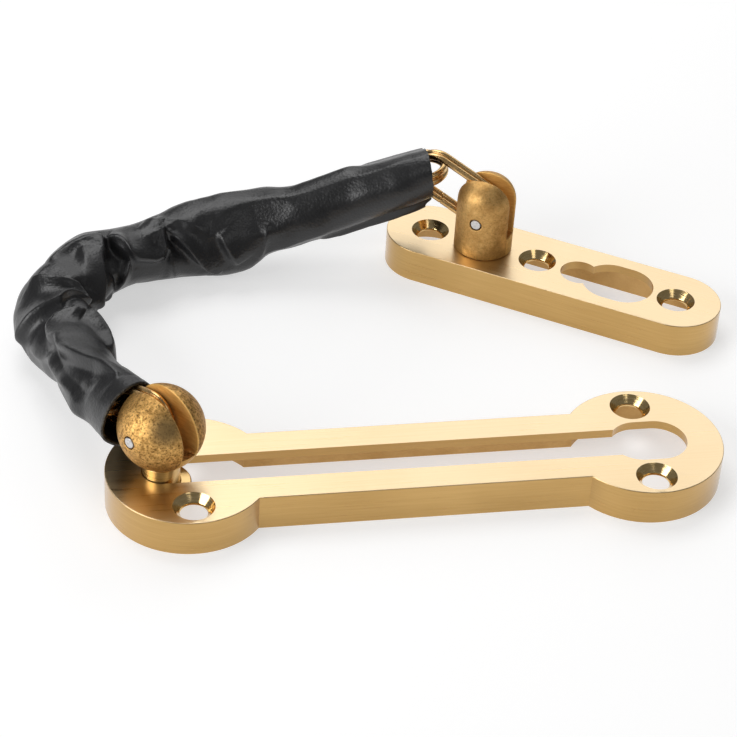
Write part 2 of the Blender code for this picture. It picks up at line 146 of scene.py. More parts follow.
# ---------------------------------------------------------------- node helpers
class Nodes:
    """A material and short ways to add nodes to it."""

    def __init__(self, name, **settings):
        self.material = bpy.data.materials.new(name)
        self.material.use_nodes = True
        self.tree = self.material.node_tree
        self.shader = self.tree.nodes["Principled BSDF"]
        for socket, value in settings.items():
            self.shader.inputs[socket.replace("_", " ")].default_value = value

    def add(self, kind, **settings):
        node = self.tree.nodes.new(kind)
        for key, value in settings.items():
            setattr(node, key, value)
        return node

    def link(self, output, target):
        self.tree.links.new(output, target)

    def place(self, stretch=(1, 1, 1), turn=0.0):
        """Object coordinates, turned about Z and stretched."""
        source = self.add("ShaderNodeTexCoord")
        turned = self.add("ShaderNodeMapping")
        turned.inputs["Rotation"].default_value = (0, 0, -turn)
        scaled = self.add("ShaderNodeMapping")
        scaled.inputs["Scale"].default_value = stretch
        self.link(source.outputs["Object"], turned.inputs["Vector"])
        self.link(turned.outputs["Vector"], scaled.inputs["Vector"])
        return scaled.outputs["Vector"]

    def noise(self, vector, scale, detail=3.0, rough=0.5):
        node = self.add("ShaderNodeTexNoise")
        node.inputs["Scale"].default_value = scale
        node.inputs["Detail"].default_value = detail
        node.inputs["Roughness"].default_value = rough
        self.link(vector, node.inputs["Vector"])
        return node.outputs["Fac"]

    def ramp(self, factor, *stops):
        """Colour ramp through (position, colour) stops; a colour may be one grey value."""
        node = self.add("ShaderNodeValToRGB")
        elements = node.color_ramp.elements
        while len(elements) < len(stops):
            elements.new(0.5)
        for element, (position, colour) in zip(elements, stops):
            element.position = position
            rgb = (colour,) * 3 if isinstance(colour, (int, float)) else colour
            element.color = (*rgb, 1.0)
        self.link(factor, node.inputs["Fac"])
        return node.outputs["Color"]

    def mix(self, factor, first, second):
        """Colour mix; first and second are sockets, or colours."""
        node = self.add("ShaderNodeMix", data_type="RGBA")
        if isinstance(factor, float):
            node.inputs["Factor"].default_value = factor
        else:
            self.link(factor, node.inputs["Factor"])
        for value, socket in ((first, node.inputs["A"]), (second, node.inputs["B"])):
            if isinstance(value, tuple):
                socket.default_value = (*value, 1.0)
            else:
                self.link(value, socket)
        return node.outputs["Result"]

    def maths(self, operation, first, second):
        node = self.add("ShaderNodeMath", operation=operation)
        for value, socket in ((first, node.inputs[0]), (second, node.inputs[1])):
            if isinstance(value, (int, float)):
                socket.default_value = value
            else:
                self.link(value, socket)
        return node.outputs["Value"]

    def distance_to(self, point, unit):
        """Distance from a point of the object, in the given unit."""
        source = self.add("ShaderNodeTexCoord")
        node = self.add("ShaderNodeVectorMath", operation="DISTANCE")
        self.link(source.outputs["Object"], node.inputs[0])
        node.inputs[1].default_value = point
        return self.maths("DIVIDE", node.outputs["Value"], unit)

    def facing_up(self):
        """1 on level faces, 0 on upright ones."""
        geometry = self.add("ShaderNodeNewGeometry")
        split = self.add("ShaderNodeSeparateXYZ")
        self.link(geometry.outputs["Normal"], split.inputs["Vector"])
        level = self.maths("ABSOLUTE", split.outputs["Z"], 0.0)
        node = self.add("ShaderNodeMapRange")
        node.inputs["From Min"].default_value = 0.4
        node.inputs["From Max"].default_value = 0.8
        self.link(level, node.inputs["Value"])
        return node.outputs["Result"]

    def bump(self, height, strength, distance):
        node = self.add("ShaderNodeBump")
        node.inputs["Strength"].default_value = strength
        node.inputs["Distance"].default_value = distance
        self.link(height, node.inputs["Height"])
        self.link(node.outputs["Normal"], self.shader.inputs["Normal"])

    def set(self, socket, output):
        self.link(output, self.shader.inputs[socket])


# ---------------------------------------------------------------- materials
def brushed_brass(name, turn):
    """Satin brass, brushed along the plate on its face and round it on its sides, with painted light and
    shade: its face gets paler tones and its sides darker ones.
    """
    m = Nodes(name, Metallic=1.0, Coat_Weight=0.8, Coat_Roughness=0.18)
    face = m.noise(m.place((60, 2600, 60), turn), 1.0, 4.0, 0.6)
    side = m.noise(m.place((90, 90, 2600), turn), 1.0, 4.0, 0.6)
    lines = m.mix(m.facing_up(), side, face)
    broad = m.noise(m.place((1, 1, 1), turn), 45.0, 2.0)
    # painted shade on the upright sides and painted light on the level face: the same brass, darker on the
    # sides and paler on the face
    shaded_side_tones = ((0.48, 0.280, 0.075), (0.62, 0.385, 0.125))
    lit_face_tones = ((0.73, 0.543, 0.300), (0.826, 0.645, 0.395))
    tones = []
    for low, high in (shaded_side_tones, lit_face_tones):
        streaks = m.ramp(lines, (0.30, low), (0.72, high))
        clouds = m.ramp(broad, (0.3, low), (0.7, high))
        tones.append(m.mix(0.5, streaks, clouds))
    # painted light and shade: level faces take the paler tones and upright sides the darker ones
    m.set("Base Color", m.mix(m.facing_up(), *tones))
    m.set("Roughness", m.ramp(lines, (0.25, 0.25), (0.75, 0.38)))
    m.bump(lines, 0.10, 0.00012)
    return m.material


def polished_brass():
    """Bright cut brass of the countersinks, with the turning marks of the cutter."""
    m = Nodes("polished_brass", Metallic=1.0)
    marks = m.noise(m.place((500, 500, 6000)), 1.0, 2.0)
    m.set("Base Color", m.ramp(marks, (0.3, (0.74, 0.52, 0.22)), (0.7, (0.88, 0.66, 0.34))))
    m.set("Roughness", m.ramp(marks, (0.3, 0.10), (0.7, 0.20)))
    m.bump(marks, 0.15, 0.00008)
    return m.material


def cast_brass():
    """Duller, browner brass inside the hollow backs."""
    m = Nodes("cast_brass", Metallic=1.0)
    grain = m.noise(m.place(), 2400.0, 4.0, 0.6)
    broad = m.noise(m.place(), 120.0, 3.0)
    m.set("Base Color", m.ramp(broad, (0.3, (0.52, 0.31, 0.11)), (0.7, (0.66, 0.43, 0.18))))
    m.set("Roughness", m.ramp(grain, (0.3, 0.42), (0.7, 0.58)))
    m.bump(grain, 0.25, 0.0001)
    return m.material


def antique_brass(name, light, dark, speckle, patch, grain, reflection_spot=None):
    """Tumbled and darkened brass: mottled, with fine dark speckles, and sometimes one painted dark
    reflection.

    speckle and patch are how much the speckles and the broad patches darken it, and grain is the
    scale of the mottling. The last argument, when given, is the middle of a soft painted dark reflection.
    """
    m = Nodes(name, Metallic=1.0)
    where = m.place()
    mottle = m.noise(where, grain, 8.0, 0.78)
    specks = m.noise(where, 2600.0, 4.0, 0.7)
    clouds = m.noise(where, 150.0, 3.0, 0.55)
    colour = m.ramp(mottle, (0.38, dark), (0.62, light))
    worn = m.ramp(clouds, (0.35, 0.0), (0.65, patch))
    colour = m.mix(worn, colour, dark)
    spots = m.ramp(specks, (0.34, speckle), (0.47, 0.0))
    colour = m.mix(spots, colour, (0.10, 0.055, 0.02))
    # painted reflection: a soft dark spot on the ball's front, the dark surroundings in front of it painted
    # in, darkest at its middle
    if reflection_spot:
        reflection_mask = m.ramp(m.distance_to(reflection_spot, PAINTED_REFLECTION_SIZE), (0.35, 0.75), (1.0, 0.0))
        colour = m.mix(reflection_mask, colour, (0.23, 0.155, 0.07))
    m.set("Base Color", colour)
    m.set("Roughness", m.ramp(mottle, (0.3, 0.60), (0.7, 0.42)))
    m.bump(m.maths("ADD", mottle, m.maths("MULTIPLY", specks, 0.7)), 0.40, 0.00014)
    return m.material


def sawn_brass():
    """Walls of the saw cuts: raw warm brass with the fine marks of the saw."""
    m = Nodes("sawn_brass", Metallic=0.45)
    marks = m.noise(m.place((500, 500, 3000)), 1.0, 4.0, 0.6)
    m.set("Base Color", m.ramp(marks, (0.3, (0.74, 0.41, 0.10)), (0.7, (0.95, 0.60, 0.20))))
    m.set("Roughness", m.ramp(marks, (0.3, 0.38), (0.7, 0.55)))
    m.bump(marks, 0.3, 0.0001)
    return m.material


def bright_brass():
    """Turned bright brass of the foot."""
    m = Nodes("bright_brass", Metallic=1.0)
    marks = m.noise(m.place((150, 150, 4200)), 1.0, 3.0)
    m.set("Base Color", m.ramp(marks, (0.3, (0.70, 0.46, 0.18)), (0.7, (0.84, 0.60, 0.28))))
    m.set("Roughness", m.ramp(marks, (0.3, 0.24), (0.7, 0.36)))
    m.bump(marks, 0.15, 0.0001)
    return m.material


def wire_brass():
    """Drawn brass wire with a warm tone and light rubbing marks."""
    m = Nodes("wire_brass", Metallic=1.0)
    where = m.place()
    rubs = m.noise(where, 900.0, 4.0, 0.6)
    broad = m.noise(where, 110.0, 2.0)
    colour = m.ramp(broad, (0.3, (0.66, 0.41, 0.17)), (0.7, (0.82, 0.57, 0.27)))
    m.set("Base Color", m.mix(m.ramp(rubs, (0.30, 0.45), (0.46, 0.0)), colour, (0.36, 0.20, 0.07)))
    m.set("Roughness", m.ramp(rubs, (0.3, 0.34), (0.7, 0.20)))
    m.bump(rubs, 0.12, 0.0001)
    return m.material


def pin_steel():
    """Cut and pressed end of a plain steel pin."""
    m = Nodes("pin_steel", Metallic=1.0)
    grain = m.noise(m.place(), 2600.0, 4.0, 0.6)
    m.set("Base Color", m.ramp(grain, (0.3, (0.50, 0.48, 0.46)), (0.65, (0.74, 0.73, 0.72))))
    m.set("Roughness", m.ramp(grain, (0.3, 0.30), (0.7, 0.46)))
    m.bump(grain, 0.2, 0.0001)
    return m.material


def leather():
    """Smooth black leather: soft pebbled grain and fine, faintly lighter flecks."""
    m = Nodes("black_leather", Specular_IOR_Level=0.55)
    where = m.place()
    pebble = m.add("ShaderNodeTexVoronoi", feature="SMOOTH_F1")
    pebble.inputs["Scale"].default_value = 2100.0
    pebble.inputs["Smoothness"].default_value = 0.6
    m.link(where, pebble.inputs["Vector"])
    fine = m.noise(where, 4200.0, 3.0, 0.6)
    broad = m.noise(where, 150.0, 4.0, 0.55)
    tone = m.ramp(broad, (0.3, (0.005, 0.005, 0.0055)), (0.7, (0.012, 0.012, 0.013)))
    m.set("Base Color", m.mix(m.ramp(fine, (0.35, 0.0), (0.75, 0.22)), tone, (0.030, 0.030, 0.032)))
    m.set("Roughness", m.ramp(broad, (0.3, 0.30), (0.7, 0.38)))
    grain = m.maths("ADD", pebble.outputs["Distance"], m.maths("MULTIPLY", fine, 0.5))
    m.bump(grain, 0.29, 0.00014)
    return m.material


def raw_edge():
    """Cut edge of the leather, greyish and fibrous."""
    m = Nodes("leather_edge")
    fibre = m.noise(m.place(), 2300.0, 5.0, 0.7)
    m.set("Base Color", m.ramp(fibre, (0.35, (0.04, 0.037, 0.034)), (0.65, (0.26, 0.24, 0.20))))
    m.set("Roughness", m.ramp(fibre, (0.3, 0.75), (0.7, 0.92)))
    m.bump(fibre, 0.6, 0.0002)
    return m.material


def lining():
    """Back of the leather, inside the sleeve: black suede."""
    m = Nodes("leather_lining")
    nap = m.noise(m.place(), 3000.0, 4.0, 0.6)
    m.set("Base Color", m.ramp(nap, (0.3, (0.006, 0.006, 0.006)), (0.7, (0.020, 0.019, 0.018))))
    m.set("Roughness", m.ramp(nap, (0.3, 0.85), (0.7, 0.97)))
    m.bump(nap, 0.5, 0.00015)
    return m.material


# ---------------------------------------------------------------- mesh helpers
def arc(centre_x, radius, start, end, steps):
    """Points on an arc about (centre_x, 0)."""
    angles = [start + (end - start) * i / steps for i in range(steps + 1)]
    return [(centre_x + radius * cos(a), radius * sin(a)) for a in angles]


def dog_bone(inset):
    """Outline of the track plate, moved inwards."""
    end, bar = TRACK_END - inset, TRACK_BAR - inset
    meet = asin(bar / end)
    right = arc(TRACK_LENGTH, end, meet - pi, pi - meet, 96)
    return right + arc(0, end, meet, 2 * pi - meet, 96)


def stadium(start, end, radius):
    """Outline of a bar with round ends."""
    return arc(end, radius, -pi / 2, pi / 2, 64) + arc(start, radius, pi / 2, 3 * pi / 2, 64)


def keyhole_slot(grow):
    """Outline of the slot and its keyhole, moved outwards."""
    half, radius = SLOT_HALF + grow, KEYHOLE[2] + grow
    meet = asin(half / radius)
    back = arc(TRACK_LENGTH + KEYHOLE[0], radius, pi / 2, pi - meet, 24)
    front = arc(TRACK_LENGTH + KEYHOLE[1], radius, -pi / 2, pi / 2, 48)
    lower = [(x, -y) for x, y in reversed(back)]
    return front + back + arc(SLOT_START, half, pi / 2, 3 * pi / 2, 40) + lower


def parking_slot(grow):
    """Outline of the lobed slot of the anchor plate, moved outwards."""
    neck, wide = PARK_NECK[1] + grow, PARK_WIDE[2] + grow
    apart = PARK_WIDE[0] - PARK_NECK[0]
    meet = (apart ** 2 + neck ** 2 - wide ** 2) / (2 * apart)
    at_neck, at_wide = acos(meet / neck), acos((apart - meet) / wide)
    back = arc(PARK_WIDE[0], wide, pi / 2, pi - at_wide, 24)
    front = arc(PARK_WIDE[1], wide, -pi / 2, pi / 2, 48)
    lower = [(x, -y) for x, y in reversed(back)]
    return front + back + arc(PARK_NECK[0], neck, at_neck, 2 * pi - at_neck, 48)[1:-1] + lower


def circle(x, y, radius):
    """Outline of a round hole."""
    return [(x + across, y + up) for across, up in arc(0, radius, 0, 2 * pi, 64)[:-1]]


def ring(shape, outline, height):
    """New vertices along an outline, at one height."""
    return [shape.verts.new((x, y, height)) for x, y in outline]


def without_doubles(outline):
    """The outline without points that repeat their neighbour."""
    kept = [outline[0]]
    for point in outline[1:]:
        if (Vector(point) - Vector(kept[-1])).length > 1e-7:
            kept.append(point)
    if (Vector(kept[0]) - Vector(kept[-1])).length < 1e-7:
        kept.pop()
    return kept


def loft(shape, rings, slot=0):
    """Quads between neighbouring closed rings of one length."""
    for first, second in zip(rings, rings[1:]):
        for k in range(len(first)):
            following = (k + 1) % len(first)
            face = shape.faces.new((first[k], first[following], second[following], second[k]))
            face.material_index = slot


def fill(shape, loops, slot=0):
    """A flat face between an outline and its holes."""
    edges = []
    for loop in loops:
        edges += [shape.edges.get((a, b)) or shape.edges.new((a, b))
                  for a, b in zip(loop, loop[1:] + loop[:1])]
    made = bmesh.ops.triangle_fill(shape, use_beauty=True, edges=edges)["geom"]
    for item in made:
        if isinstance(item, bmesh.types.BMFace):
            item.material_index = slot


def make_object(name, shape, materials, place=(0, 0, 0), turn=0.0, sharp=35):
    """An object from a bmesh, with its place in the mesh; sharp is the angle of a hard edge."""
    bmesh.ops.recalc_face_normals(shape, faces=shape.faces)
    bmesh.ops.transform(shape, matrix=Matrix.Translation(place) @ Matrix.Rotation(turn, 4, "Z"),
                        verts=shape.verts)
    mesh = bpy.data.meshes.new(name)
    shape.to_mesh(mesh)
    shape.free()
    made = bpy.data.objects.new(name, mesh)
    bpy.context.collection.objects.link(made)
    for item in materials:
        mesh.materials.append(item)
    mesh.shade_smooth()
    if sharp:
        mesh.set_sharp_from_angle(angle=radians(sharp))
    return made


def flat_faces_first(obj):
    """Let the large flat faces set the normals, so that the rounded edges shade softly."""
    modifier = obj.modifiers.new("normals", "WEIGHTED_NORMAL")
    modifier.keep_sharp = True
    modifier.weight = 100


def finish_piece(obj, body, slot_name, *nodes):
    """Hide the CAD nodes that a finished piece stands for and attach it to its body. slot_name is not used.
    """
    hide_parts(*nodes)
    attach(obj, body)


def bake_modifiers(obj):
    """Turn an object's modifiers into its mesh."""
    graph = bpy.context.evaluated_depsgraph_get()
    mesh = bpy.data.meshes.new_from_object(obj.evaluated_get(graph))
    obj.modifiers.clear()
    old, obj.data = obj.data, mesh
    bpy.data.meshes.remove(old)


# ---------------------------------------------------------------- plates
def rounded_rings(shape, outline, inwards):
    """Rings from the flat face over a rounded edge; inwards is 1 at the rim and -1 at a hole."""
    rings = []
    for i in range(4):
        angle = pi / 2 * i / 3
        inset = EDGE * (1 - sin(angle)) * inwards
        rings.append(ring(shape, without_doubles(outline(inset)), PLATE_TOP - EDGE * (1 - cos(angle))))
    return rings


def plate_shape(rim, holes, screws):
    """A plate with a rounded edge, hollow behind, with shaped holes and countersunk ones.

    Its first material is that of the face and sides, the second that of the countersinks and the
    third that of the hollow back.
    """
    shape = bmesh.new()
    outer = rounded_rings(shape, rim, 1)
    base = [ring(shape, without_doubles(rim(0)), 0), ring(shape, without_doubles(rim(WALL)), 0),
            ring(shape, without_doubles(rim(WALL)), PLATE_TOP - SKIN)]
    loft(shape, outer + base[:1])
    loft(shape, base[:2])
    loft(shape, base[1:], slot=2)
    top, under = [outer[0]], [base[2]]
    for hole in holes:
        rings = rounded_rings(shape, hole, -1)
        rings.append(ring(shape, without_doubles(hole(0)), PLATE_TOP - SKIN))
        loft(shape, rings)
        top.append(rings[0])
        under.append(rings[-1])
    for x, y in screws:
        lip, soft = 0.05 * MM, 0.12 * MM
        levels = ((SINK_RADIUS + lip, PLATE_TOP), (SINK_RADIUS, PLATE_TOP - lip),
                  (SCREW_RADIUS + soft, PLATE_TOP - SINK_DEPTH + soft),
                  (SCREW_RADIUS, PLATE_TOP - SINK_DEPTH - soft), (SCREW_RADIUS, PLATE_TOP - SKIN))
        rings = [ring(shape, circle(x, y, radius), height) for radius, height in levels]
        loft(shape, rings, slot=1)
        top.append(rings[0])
        under.append(rings[-1])
    fill(shape, top)
    fill(shape, under, slot=2)
    return shape


def make_plates(polished, cast):
    track = plate_shape(dog_bone, [keyhole_slot],
                        [(x, side * TRACK_SCREW) for x in (0, TRACK_LENGTH) for side in (-1, 1)])
    plate = make_object("track_plate_brushed", track,
                        [brushed_brass("brushed_brass_track", 0.0), polished, cast], TRACK)
    flat_faces_first(plate)
    finish_piece(plate, "track_plate", "track_plate", "track_plate")
    anchor = plate_shape(lambda inset: stadium(0, ANCHOR_LENGTH, ANCHOR_HALF - inset), [parking_slot],
                         [(x, 0) for x in ANCHOR_SCREWS])
    plate = make_object("anchor_plate_brushed", anchor,
                        [brushed_brass("brushed_brass_anchor", ANCHOR_TURN), polished, cast],
                        ANCHOR, ANCHOR_TURN)
    flat_faces_first(plate)
    finish_piece(plate, "anchor", "anchor_plate", "anchor_plate")


# ---------------------------------------------------------------- post, ball, foot and pins
def turned(profile, sides=64):
    """A solid of revolution about Z from (radius, height) points, axis to axis."""
    shape = bmesh.new()
    rings = []
    for radius, height in profile:
        angles = [2 * pi * i / sides for i in range(1 if radius == 0 else sides)]
        rings.append([shape.verts.new((radius * cos(a), radius * sin(a), height)) for a in angles])
    for lower, upper in zip(rings, rings[1:]):
        for i in range(sides):
            j = (i + 1) % sides
            corners = [lower[i % len(lower)], lower[j % len(lower)],
                       upper[j % len(upper)], upper[i % len(upper)]]
            shape.faces.new(list(dict.fromkeys(corners)))
    return shape


def block(low, high):
    """A box between two corners."""
    shape = bmesh.new()
    bmesh.ops.create_cube(shape, size=1)
    size, middle = Vector(high) - Vector(low), (Vector(high) + Vector(low)) / 2
    bmesh.ops.transform(shape, matrix=Matrix.Translation(middle) @ Matrix.Diagonal((*size, 1)),
                        verts=shape.verts)
    return shape


def moved(shape, matrix):
    bmesh.ops.transform(shape, matrix=matrix, verts=shape.verts)
    return shape


def soft_edged(name, shape, cutters, materials, voxel):
    """Cut a solid and give it the slightly rounded edges of a tumbled casting."""
    work = make_object(name, shape, materials, sharp=0)
    tools = []
    for index, cutter in enumerate(cutters):
        tool = make_object(f"{name}_tool_{index}", cutter, [], sharp=0)
        modifier = work.modifiers.new("cut", "BOOLEAN")
        modifier.operation = "DIFFERENCE"
        modifier.solver = "EXACT"
        modifier.object = tool
        tools.append(tool)
    bake_modifiers(work)
    for tool in tools:
        bpy.data.objects.remove(tool, do_unlink=True)
    work.data.transform(Matrix.Scale(REMESH_SCALE, 4))
    remesh = work.modifiers.new("remesh", "REMESH")
    remesh.mode = "VOXEL"
    remesh.voxel_size = voxel * REMESH_SCALE
    smooth = work.modifiers.new("smooth", "SMOOTH")
    smooth.iterations = 4
    smooth.factor = 0.5
    bake_modifiers(work)
    work.data.transform(Matrix.Scale(1 / REMESH_SCALE, 4))
    work.data.materials.clear()
    for item in materials:
        work.data.materials.append(item)
    work.data.shade_smooth()
    return work


def line_slit(obj, finish):
    """Give the walls of a saw cut, which runs along X through the Z axis, their own finish."""
    obj.data.materials.append(finish)
    for face in obj.data.polygons:
        if abs(face.center.y) < SLIT / 2 + SLIT_MARGIN and abs(face.normal.z) < 0.9:
            face.material_index = 1


def place_mesh(obj, place, turn):
    """Turn an object's mesh about Z and move it into place."""
    obj.data.transform(Matrix.Translation(place) @ Matrix.Rotation(turn, 4, "Z"))


def pin_bar(radius, half, height, crown=0.0):
    """A bar along Y through the Z axis, with lightly rounded ends."""
    profile = ((0, -half - crown), (radius * 0.6, -half - crown * 0.6), (radius * 0.92, -half),
               (radius, -half + radius * 0.1), (radius, half - radius * 0.1), (radius * 0.92, half),
               (radius * 0.6, half + crown * 0.6), (0, half + crown))
    lying = Matrix.Translation((0, 0, height)) @ Matrix.Rotation(pi / 2, 4, "X")
    return moved(turned(profile, 40), lying)


def make_post(finish, steel, sawn):
    shoulder = POST_TOP - DOME
    base = PLATE_TOP + POST_LIFT
    profile = [(0, base), (POST_RADIUS, base), (POST_RADIUS, shoulder)]
    for i in range(1, 24):
        angle = pi / 2 * i / 24
        profile.append((POST_RADIUS * cos(angle) ** DOME_POWER,
                        shoulder + DOME * sin(angle) ** DOME_POWER))
    profile.append((0, POST_TOP))
    reach = 2 * POST_RADIUS
    cutters = [block((-reach, -SLIT / 2, POST_SLIT_FLOOR), (reach, SLIT / 2, 2 * POST_TOP)),
               pin_bar(PIN_RADIUS + PIN_ROOM, reach, POST_PIN.z)]
    post = soft_edged("post_domed", turned(profile, 96), cutters, [finish], POST_VOXEL)
    line_slit(post, sawn)
    place_mesh(post, POST, ANCHOR_TURN)
    finish_piece(post, "anchor", "post", "post")
    half = sqrt(POST_RADIUS ** 2 - PIN_RADIUS ** 2) - PIN_BACK
    bar = pin_bar(PIN_RADIUS, half, POST_PIN.z, PIN_CROWN)
    pin = make_object("post_pin_steel", bar, [steel], POST, ANCHOR_TURN)
    finish_piece(pin, "anchor", "post_pin", "post_pin")


def make_ball(finish, steel, sawn):
    angles = [pi * i / 64 for i in range(65)]
    profile = [(BALL_RADIUS * sin(a), BALL_HEIGHT - BALL_RADIUS * cos(a)) for a in angles]
    profile[0], profile[-1] = (0, profile[0][1]), (0, profile[-1][1])
    reach = 2 * BALL_RADIUS
    slit = moved(block((-2 * reach, -SLIT / 2, -BALL_SLIT_DEPTH), (2 * reach, SLIT / 2, 2 * reach)),
                 Matrix.Translation((0, 0, BALL_PIN.z)) @ Matrix.Rotation(BALL_SLIT_SLOPE, 4, "Y"))
    low = BALL_HEIGHT - 1.2 * BALL_RADIUS
    wide, high = NECK_RADIUS + NECK_ROOM, NECK_TOP + NECK_ROOM
    neck = turned(((0, low), (wide, low), (wide, high), (0, high)))
    cutters = [slit, pin_bar(PIN_RADIUS + PIN_ROOM, reach, BALL_PIN.z), neck]
    ball = soft_edged("ball_slotted", turned(profile, 96), cutters, [finish], BALL_VOXEL)
    line_slit(ball, sawn)
    place_mesh(ball, BALL, BALL_TURN)
    finish_piece(ball, "ball", "ball", "ball")
    half = sqrt(BALL_RADIUS ** 2 - PIN_RADIUS ** 2) - PIN_BACK
    bar = pin_bar(PIN_RADIUS, half, BALL_PIN.z, PIN_CROWN)
    pin = make_object("ball_pin_steel", bar, [steel], BALL, BALL_TURN)
    finish_piece(pin, "ball", "ball_pin", "ball_pin")


def make_foot(finish):
    """The flange behind the plate's lips, the neck, and the spigot with its riveted head in the ball."""
    top = PLATE_TOP - SKIN - FLANGE_ROOM
    low = top - FLANGE
    soft = 0.2 * MM
    profile = ((0, low), (FLANGE_RADIUS - soft, low), (FLANGE_RADIUS, low + soft),
               (FLANGE_RADIUS, top - soft), (FLANGE_RADIUS - soft, top), (NECK_RADIUS + soft, top),
               (NECK_RADIUS, top + soft), (NECK_RADIUS, NECK_TOP - soft),
               (NECK_RADIUS - soft, NECK_TOP), (SPIGOT_RADIUS, NECK_TOP),
               (SPIGOT_RADIUS, RIVET[0][1]), *RIVET)
    foot = make_object("slider_foot_bright", turned(profile, 80), [finish], BALL)
    finish_piece(foot, "foot", "slider_foot", "slider_foot")


# ---------------------------------------------------------------- chain
def link_axes(nodes):
    """The middles of a link's CAD loops, and its axes: along, across and through the loops."""
    points = [np.array([v.co[:] for v in frame["nodes"][n].data.vertices]) for n in nodes]
    middles = [p.mean(axis=0) for p in points]
    both = np.vstack([p - m for p, m in zip(points, middles)])
    axes = np.linalg.svd(both, full_matrices=False)[2]
    return middles, axes


def wire_path(seam_at):
    """Centre line of one loop, as (x, y) points; the butt seam lies on a straight side."""
    quarters = (0.25, 0.5, 0.75)
    path = arc(LINK_STRAIGHT, LINK_BEND, -pi / 2, pi / 2, 16)
    path += [(LINK_STRAIGHT * (1 - 2 * t), LINK_BEND) for t in quarters]
    path += arc(-LINK_STRAIGHT, LINK_BEND, pi / 2, 3 * pi / 2, 16)
    lower = [(LINK_STRAIGHT * (2 * t - 1), -LINK_BEND) for t in quarters]
    if seam_at is not None:
        x = LINK_STRAIGHT * (2 * seam_at - 1)
        lower += [(x + step * MM, -LINK_BEND) for step in SEAM_STEPS]
        lower.sort()
    return path + lower


def wire_loop(name, centre, axes, finish, seam_at=None, sides=14):
    """One loop of round wire, which is notched and a little thicker at its butt seam."""
    path = wire_path(seam_at)
    along, across, through = (Vector(a) for a in axes)
    shape = bmesh.new()
    rings = []
    for i, (x, y) in enumerate(path):
        before, after = Vector(path[i - 1]), Vector(path[(i + 1) % len(path)])
        side = Vector((after.y - before.y, before.x - after.x)).normalized()
        thick = WIRE / 2
        if seam_at is not None and y < 0:
            gap = abs(x - LINK_STRAIGHT * (2 * seam_at - 1))
            for reach, change in (SEAM_NOTCH, SEAM_BULGE):
                if gap < reach:
                    thick *= change
                    break
        spots = []
        for k in range(sides):
            out, height = thick * cos(2 * pi * k / sides), thick * sin(2 * pi * k / sides)
            spots.append(shape.verts.new(Vector(centre) + (x + side.x * out) * along
                                         + (y + side.y * out) * across + height * through))
        rings.append(spots)
    loft(shape, rings + rings[:1])
    return make_object(name, shape, [finish], sharp=0)


def make_links(finish):
    for number in range(1, LINKS + 1):
        nodes = [f"link_{number:02d}_{letter}" for letter in "ab"]
        middles, axes = link_axes(nodes)
        heading = np.array(CHAIN[number] - CHAIN[number - 1])
        axes[0] *= np.sign(axes[0] @ heading)
        if number % 2:          # a link that stands
            axes[1] *= np.sign(axes[1][2]) or 1
        axes[2] = np.cross(axes[0], axes[1])
        for node, middle, letter, seam in zip(nodes, middles, "ab", SEAMS):
            piece = wire_loop(f"chain_wire_{number:02d}_{letter}", middle, axes, finish,
                              seam if number == LINKS else None)
            finish_piece(piece, f"link_{number:02d}", "link_wire", node)


# ---------------------------------------------------------------- sleeve
# Its centre line from the mouth at the ball to the mouth at the post: x and y from the middle of
# the track plate's locked end, height, and half the width that the camera sees, in millimetres.
SLEEVE = (
    (-9.7, 5.4, 15.6, 6.2), (-13.7, 16.7, 12.6, 5.3), (-15.8, 24.0, 10.9, 5.4), (-16.6, 29.0, 9.7, 5.8),
    (-18.4, 36.5, 8.2, 7.0), (-20.4, 45.1, 7.2, 7.3), (-18.4, 52.2, 6.9, 7.0), (-15.6, 57.0, 6.7, 6.8),
    (-12.2, 62.1, 6.6, 6.6), (-7.5, 64.8, 6.5, 5.9), (-3.4, 65.9, 6.6, 5.6), (1.3, 67.3, 6.8, 6.1),
    (8.3, 68.6, 7.5, 7.5), (15.3, 68.8, 8.4, 7.9), (20.9, 69.9, 9.6, 6.9), (27.1, 69.6, 10.9, 6.1),
    (32.2, 69.4, 12.3, 5.7), (38.8, 69.3, 14.6, 5.4), (47.1, 68.4, 17.9, 5.15), (53.0, 68.6, 20.0, 4.9),
)
SLEEVE_AROUND = 38.5            # millimetres round the sleeve
SLEEVE_WALL = 0.65
LEAST_HALF = 5.25               # the links need at least this half width in the other direction
SLEEVE_RINGS = 460
SLEEVE_SIDES = 144
SMOOTHING = 12                  # rounds of smoothing of the centre line and the widths
SEEN_ALONG = np.array((0.159, 0.780, -0.605))   # from the camera; the widths are those seen along it

